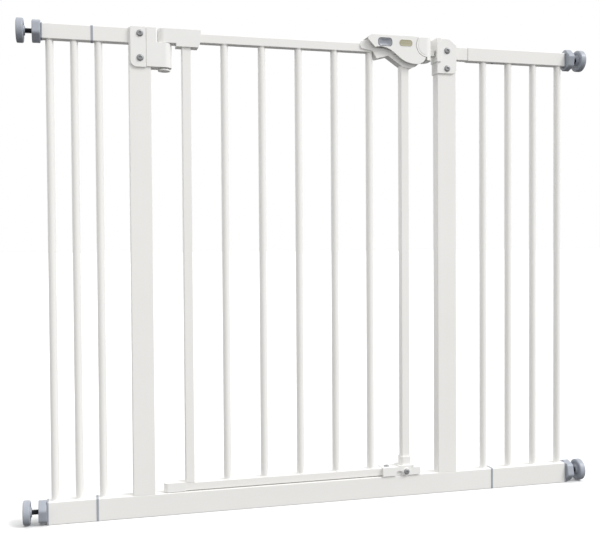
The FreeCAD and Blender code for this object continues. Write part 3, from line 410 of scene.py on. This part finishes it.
# ---- mouldings and pins: their own shape with softened edges, the width in millimetres ----
for node, width in (("hinge_bracket_front", 0.9), ("hinge_bracket_back", 0.9), ("keeper_front", 0.9),
                    ("keeper_back", 0.9), ("top_hinge_arm", 1.0), ("bottom_hinge_cap", 0.7),
                    ("latch_base", 0.5), ("latch_lever", 0.8), ("lower_latch_housing", 0.7),
                    ("rail_connectors", 0.3), ("end_plugs", 0.35), ("snap_button", 0.15),
                    ("top_hinge_pin", 0.8), ("bottom_hinge_washer", 0.08), ("lower_catch", 0.15),
                    ("bottom_hinge_pin", 0.3)):
    dress(node)
    soften(frame["nodes"][node], width * MM)


# ---- weld beads under the paint ----
BEAD_RADIUS = 0.85 * MM
BEAD_RIPPLE = 0.1  # share of the radius
RIPPLE_STEP = 1.9  # radians from one point to the next
RIPPLE_TURN = 6.28  # radians: the ripple of a bead starts anywhere in this
BEAD_OUT = 0.1 * MM  # its middle outside the bar
BEAD_STEPS = 40
POST_CORNER = 2 * MM  # where a bead stops before a post's rounded corner
POST_STEPS = 14


def bead(shape, path, closed):
    phase = random.random() * RIPPLE_TURN
    ripples = [1 + BEAD_RIPPLE * math.sin(phase + k * RIPPLE_STEP) for k in range(len(path))]
    sweep(shape, path, [BEAD_RADIUS * ripple for ripple in ripples], closed)


for node, body, name in (("left_side_bars", "frame", "left_bar_welds"),
                         ("right_side_bars", "frame", "right_bar_welds"),
                         ("door_bars", "door", "door_bar_welds")):
    welds = Shape()
    for low, high in islands(node):
        centre = (low + high) / 2
        radius = (high.x - low.x) / 2 + BEAD_OUT
        for z in (low.z, high.z):
            bead(welds, circle(Vector((centre.x, centre.y, z)), Z, radius, BEAD_STEPS), True)
    welds.piece(name, body, LOOKS["white_steel"])

welds = Shape()
for node in ("frame_left_post", "frame_right_post"):
    low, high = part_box(node)
    start = low.y + POST_CORNER
    run = high.y - low.y - 2 * POST_CORNER
    for x in (low.x, high.x):
        path = [Vector((x, start + run * k / POST_STEPS, low.z)) for k in range(POST_STEPS + 1)]
        bead(welds, path, False)
welds.piece("post_welds", "frame", LOOKS["white_steel"])


# ---- wall fittings, in millimetres ----
SPINDLE_PITCH = 1.25
SPINDLE_THREAD = 0.65  # depth

# Points of (distance from the wall, radius).
CUP_OUTLINE = (
    (2.5, 0), (2.5, 16.5),  # floor of the dish that holds the pad
    (0, 16.5), (0, 18.2), (1.2, 18.6),  # lip at the wall
    (9.0, 18.6), (10.5, 17.0),  # rim
    (10.5, 13.2), (9.2, 12.4), (9.0, 9.6), (9.4, 8.2),  # dished back
    (12.5, 7.2), (12.5, 4.4), (10.8, 4.02),  # hub
    (5.8, 4.02), (5.8, 0),  # bore for the spindle
)
PAD_BODY = ((3.0, 0), (3.0, 16.4), (0.5, 16.4), (0, 15.9))
PAD_GROOVES = (13.8, 10.0, 6.2)  # outer radius of each groove

NUT_LENGTH = 12.1
NUT_FLAT = 16.9  # from the axis to a flat
NUT_CORNER = 18.6  # from the axis to a corner
NUT_STEPS = 72
NUT_TURN = 12  # degrees: the upper nuts stand turned one way and the lower nuts the other
# Points of (distance along the nut, how far its outside stands in there).
NUT_OUTSIDE = ((0.0, 1.1), (0.25, 0.5), (0.7, 0.15), (1.3, 0.0), (6.0, 0.12), (10.8, 0.0), (11.4, 0.15),
               (11.85, 0.5), (12.1, 1.1))
# Points of (distance along the nut, radius): the round recess, the hub in it and the bore.
NUT_INSIDE = ((12.1, 13.2), (11.0, 12.4), (11.0, 8.6), (12.1, 7.6), (12.1, 5.0), (11.4, 4.06), (0.7, 4.06),
              (0.0, 4.8))


def end_middle(node, sign):
    """The middle of a node's end: its left one for -1 and its right one for 1."""
    low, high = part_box(node)
    return Vector((high.x if sign > 0 else low.x, 0, (low.z + high.z) / 2))


def spindle(corner, sign):
    node = corner + "_spindle"
    low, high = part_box(node)
    crest = (high.z - low.z) / 2
    root = crest - SPINDLE_THREAD * MM
    shape = Shape()
    threaded(shape, end_middle(node, -sign), X * sign, high.x - low.x, root, crest, SPINDLE_PITCH * MM)
    shape.piece(corner + "_threaded_spindle", corner + "_foot", LOOKS["dark_steel"], [node])


def wall_cup(corner, sign):
    """A round cup with an open dish for the pad, a dished back and a hub."""
    node = corner + "_wall_cup"
    shape = Shape()
    turned(shape, CUP_OUTLINE, end_middle(node, sign), X * -sign, easing=0.9)
    shape.piece(corner + "_cup", corner + "_foot", LOOKS["grey_plastic"], [node])


def pad(corner, sign):
    """A rubber pad with three round grooves in its wall face."""
    node = corner + "_cup_pad"
    profile = list(PAD_BODY)
    for radius in PAD_GROOVES:
        profile += [(0, radius), (0.4, radius - 0.3), (0.4, radius - 1.2), (0, radius - 1.5)]
    profile += [(0, 0)]
    shape = Shape()
    turned(shape, profile, end_middle(node, sign), X * -sign, easing=0.25)
    shape.piece(corner + "_grip_pad", corner + "_foot", LOOKS["pad_rubber"], [node])


def hand_nut(corner, sign, turn):
    """A six-sided nut for the fingers, with rounded edges, a hub on its wall side and a bore."""
    node = corner + "_hand_nut"
    low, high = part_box(node)
    inner = end_middle(node, -sign)
    axis = X * sign
    length = high.x - low.x
    rings = []
    for s, inset in NUT_OUTSIDE:
        middle = inner + axis * (s / NUT_LENGTH * length)
        flat = (NUT_FLAT - inset) * MM
        rings.append(hexagon(middle, axis, flat, (NUT_CORNER - inset) * MM, turn, NUT_STEPS))
    for s, radius in NUT_INSIDE:
        middle = inner + axis * (s / NUT_LENGTH * length)
        rings.append(circle(middle, axis, radius * MM, NUT_STEPS))
    shape = Shape()
    shape.torus(rings)
    shape.piece(corner + "_finger_nut", corner + "_nut", LOOKS["grey_plastic"], [node])


for corner, sign in CORNERS:
    spindle(corner, sign)
    wall_cup(corner, sign)
    pad(corner, sign)
    hand_nut(corner, sign, NUT_TURN if "top" in corner else -NUT_TURN)


# ---- screws and nuts ----
# Shares of the head's height and radius, from its rim to the mouth of its socket.
SCREW_DOME = ((0, 0.96), (0.04, 1.0), (0.2, 0.99), (0.5, 0.93), (0.75, 0.82), (0.92, 0.68), (1.0, 0.52))
# The hexagon socket: shares of the head's height, and of its radius at the flats and the corners.
SCREW_SOCKET = ((1.0, 0.42), (0.94, 0.38), (0.3, 0.38))
SOCKET_CORNER = 0.6
SCREW_PITCH = 0.8 * MM
SCREW_THREAD = 0.3 * MM  # depth
UPRIGHT_RATIO = 1.2  # a lower latch screw this many times taller than wide stands upright

HEX_NUT_CORNER = 4.6  # millimetres from the axis to a corner
# Shares of the nut's thickness, with the cut at its corners and the bore's radius in millimetres.
HEX_NUT_OUTSIDE = ((0.0, 0.35), (0.12, 0.0), (0.88, 0.0), (1.0, 0.35))
HEX_NUT_BORE = ((1.0, 2.9), (0.9, 2.56), (0.1, 2.56), (0.0, 2.9))


def screw(shape, seat, axis, length, radius, height, shank):
    """A domed head with a hexagon socket, and its threaded shank."""
    rings = [circle(seat + axis * s * height, axis, r * radius) for s, r in SCREW_DOME]
    for s, flat in SCREW_SOCKET:
        rings.append(hexagon(seat + axis * height * s, axis, flat * radius, SOCKET_CORNER * radius))
    shape.loft(rings)
    root = shank - SCREW_THREAD
    threaded(shape, seat - axis * length, axis, length, root, shank, SCREW_PITCH, sides=16, per_turn=6)


def front_screw(shape, low, high, radius, height, shank):
    """A screw whose head faces the front, in the box of its CAD solid."""
    seat = Vector(((low.x + high.x) / 2, low.y + height, (low.z + high.z) / 2))
    screw(shape, seat, -Y, high.y - seat.y, radius, height, shank)


def top_screw(shape, low, high, radius, height, shank):
    """A screw whose head faces up, in the box of its CAD solid."""
    seat = Vector(((low.x + high.x) / 2, 0, high.z - height))
    screw(shape, seat, Z, seat.z - low.z, radius, height, shank)


screws = Shape()
for low, high in islands("bracket_screws"):
    front_screw(screws, low, high, radius=5.4 * MM, height=2.2 * MM, shank=2.45 * MM)
screws.piece("socket_screws", "frame", LOOKS["zinc_steel"], ["bracket_screws"])

screws = Shape()
for low, high in islands("lower_latch_screws"):
    upright_screw = high.z - low.z > UPRIGHT_RATIO * (high.x - low.x)
    if upright_screw:
        top_screw(screws, low, high, radius=4.6 * MM, height=2.0 * MM, shank=2.4 * MM)
    else:
        front_screw(screws, low, high, radius=5.0 * MM, height=1.8 * MM, shank=2.4 * MM)
screws.piece("lower_socket_screws", "door", LOOKS["zinc_steel"], ["lower_latch_screws"])

nuts = Shape()
for low, high in islands("bracket_nuts"):
    centre = Vector(((low.x + high.x) / 2, low.y, (low.z + high.z) / 2))
    thick = high.y - low.y
    flat = HEX_NUT_CORNER * MM * math.cos(math.pi / 6)
    rings = []
    for s, cut in HEX_NUT_OUTSIDE:
        rings.append(hexagon(centre + Y * s * thick, Y, flat, (HEX_NUT_CORNER - cut) * MM, 30))
    for s, radius in HEX_NUT_BORE:
        rings.append(circle(centre + Y * s * thick, Y, radius * MM))
    nuts.torus(rings)
nuts.piece("hexagon_nuts", "frame", LOOKS["zinc_steel"], ["bracket_nuts"])


# ---- springs ----
COIL_STEPS = 20  # points to a turn
CLOSE_ENDS = 0.35  # how strongly a coil's turns crowd at its ends
TORSION_WIRE = 0.45 * MM
TORSION_TURNS = 8
BUTTON_WIRE = 0.4 * MM
BUTTON_TURNS = 9


def coil(name, node, body, wire, turns, replaced, first=0.0, last=1.0):
    """A coil spring along Y inside the CAD sleeve, or the share of it from first to last."""
    low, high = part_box(node)
    centre = (low + high) / 2
    radius = (high.x - low.x) / 2 - wire
    reach = high.y - low.y - 2 * wire
    count = turns * COIL_STEPS
    points = []
    for k in range(round(count * first), round(count * last) + 1):
        t = k / count
        crowded = 0.5 - 0.5 * math.cos(math.pi * t)
        y = low.y + wire + reach * (CLOSE_ENDS * crowded + (1 - CLOSE_ENDS) * t)
        a = 2 * math.pi * turns * t
        points.append(Vector((centre.x + radius * math.cos(a), y, centre.z + radius * math.sin(a))))
    shape = Shape()
    sweep(shape, points, [wire] * len(points))
    return shape.piece(name, body, LOOKS["plain_steel"], replaced)


def button_spring_half(name, replaced, first, last):
    return coil(name, "release_spring", "lever", BUTTON_WIRE, BUTTON_TURNS, replaced, first, last)


coil("lever_torsion_spring", "lever_spring", "door", TORSION_WIRE, TORSION_TURNS, ["lever_spring"])
front_spring = button_spring_half("front_spring_half", ["release_spring"], 0.0, 0.5)
rear_spring = button_spring_half("rear_spring_half", [], 0.5, 1.0)
for half, joint in ((front_spring, "front_button_press"), (rear_spring, "rear_button_press")):
    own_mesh(half)


# ---- thumb buttons, in millimetres ----
BUTTON_CORNER = 5.0
BUTTON_SIDE = 0.01  # half the least straight run at each end
# Points of (depth under the face, how far the side stands in there).
BUTTON_EDGE = ((0.9, 0.0), (0.35, 0.15), (0.06, 0.55), (0.0, 1.1))
BUTTON_FACE_INSET = 1.1
BUTTON_CHAMFER = 0.4  # round its hidden end
BUTTON_DISH = 1.7  # depth of the hollow in the face
DISH_STEPS = 9


def thumb_button(node, name, body, facing):
    """A rounded button with a dished face. facing is -1 for the front button and 1 for the rear one."""
    low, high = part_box(node)
    outer = low.y if facing < 0 else high.y
    inner = high.y if facing < 0 else low.y

    def ring(y, inset, scale=1.0):
        middle = Vector(((low.x + high.x) / 2, y, (low.z + high.z) / 2))
        width = (high.x - low.x - 2 * inset * MM) * scale
        tall = (high.z - low.z - 2 * inset * MM) * scale
        corner = min(BUTTON_CORNER * MM * scale, tall / 2 - BUTTON_SIDE * MM)
        return rounded_rectangle(middle, width, tall, corner)

    rings = [ring(inner, BUTTON_CHAMFER), ring(inner + facing * BUTTON_CHAMFER * MM, 0.0)]
    for depth, inset in BUTTON_EDGE:
        rings.append(ring(outer - facing * depth * MM, inset))
    for k in range(1, DISH_STEPS):
        scale = 1 - k / DISH_STEPS
        sink = BUTTON_DISH * MM * (1 - scale ** 2)
        rings.append(ring(outer - facing * sink, BUTTON_FACE_INSET, scale))
    shape = Shape()
    shape.loft(rings)
    shape.piece(name, body, BUTTON_GREY, [node])


thumb_button("front_release_button", "front_thumb_button", "front_button", -1)
thumb_button("rear_release_button", "rear_thumb_button", "rear_button", 1)


# ---- blank plate on the handle, in millimetres ----
PLATE_WIDTH = 22.8
PLATE_TALL = 10.6
PLATE_CORNER = 4.6
PLATE_LEAST_CORNER = 1.6
PLATE_DROP = 11.4  # its middle below the top of the handle
PLATE_SHIFT = 1.0  # its middle to the left of the upright's
# Points of (height over the handle's face, inset): the side, the rim and the sunk middle.
PLATE_STEPS = ((-0.2, 0), (0.35, 0), (0.5, 0.2), (0.5, 0.9), (0.3, 1.15), (0.3, 3.2))

lever_low, lever_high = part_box("latch_lever")
upright_low, upright_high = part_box("door_latch_upright")
upright_x = (upright_low.x + upright_high.x) / 2
plate_middle = Vector((upright_x - PLATE_SHIFT * MM, lever_low.y, lever_high.z - PLATE_DROP * MM))
rings = []
for proud, inset in PLATE_STEPS:
    width = (PLATE_WIDTH - 2 * inset) * MM
    tall = (PLATE_TALL - 2 * inset) * MM
    corner = max(PLATE_CORNER - inset, PLATE_LEAST_CORNER) * MM
    rings.append(rounded_rectangle(plate_middle - Y * proud * MM, width, tall, corner))
plate = Shape()
plate.loft(rings)
plate.piece("blank_plate", "lever", SATIN_PLATE)


# ---- floor ----
FLOOR_REACH = 400  # metres to each side, so that its edge is never seen

floor_mesh = bpy.data.meshes.new("floor")
floor_corners = [(x * FLOOR_REACH, y * FLOOR_REACH, 0) for x, y in ((-1, -1), (1, -1), (1, 1), (-1, 1))]
floor_mesh.from_pydata(floor_corners, [], [(0, 1, 2, 3)])
floor_mesh.materials.append(PALE_FLOOR)
floor = add_object("floor", floor_mesh)
floor.visible_diffuse = False
floor.visible_glossy = False

# ---- light: a white room that darkens below the horizon, and a soft sun from the front right ----
DARK_BELOW = -0.3  # heights on the ball of directions, where 0 is the horizon
WHITE_ABOVE = -0.03
GROUND_LIGHT = 0.18
ROOM_LIGHT = 1.0

world = bpy.data.worlds.new("studio")
bpy.context.scene.world = world
world.use_nodes = True
tree = world.node_tree
direction = tree.nodes.new("ShaderNodeTexCoord")
split = tree.nodes.new("ShaderNodeSeparateXYZ")
tree.links.new(direction.outputs["Generated"], split.inputs["Vector"])
brightness = map_range(tree, split.outputs["Z"], DARK_BELOW, WHITE_ABOVE, GROUND_LIGHT, ROOM_LIGHT)
background = tree.nodes["Background"]
tree.links.new(brightness, background.inputs["Strength"])
background.inputs["Color"].default_value = (1, 1, 1, 1)

sun = bpy.data.lights.new("softbox", "SUN")
sun.energy = 1.9
sun.angle = math.radians(24)
sun_holder = add_object("softbox", sun)
sun_holder.rotation_mode = "QUATERNION"
sun_holder.rotation_quaternion = Vector((1.04, -0.82, 1.3)).to_track_quat("Z", "Y")

bpy.context.scene.view_settings.view_transform = "Standard"

# ---- camera: in front of the gate and left of its middle ----
camera = bpy.data.cameras.new("camera")
camera.lens = 51.0
camera.sensor_width = 36.0
camera_holder = add_object("camera", camera)
right = Vector((0.96804, -0.25072, -0.00644))
up = Vector((0.01254, 0.02273, 0.99966))
forward = Vector((0.25049, 0.96779, -0.02515))
camera_axes = Matrix((right, up, -forward)).transposed().to_4x4()
camera_holder.matrix_world = Matrix.Translation((-0.3929, -1.3587, 0.4188)) @ camera_axes
bpy.context.scene.camera = camera_holder
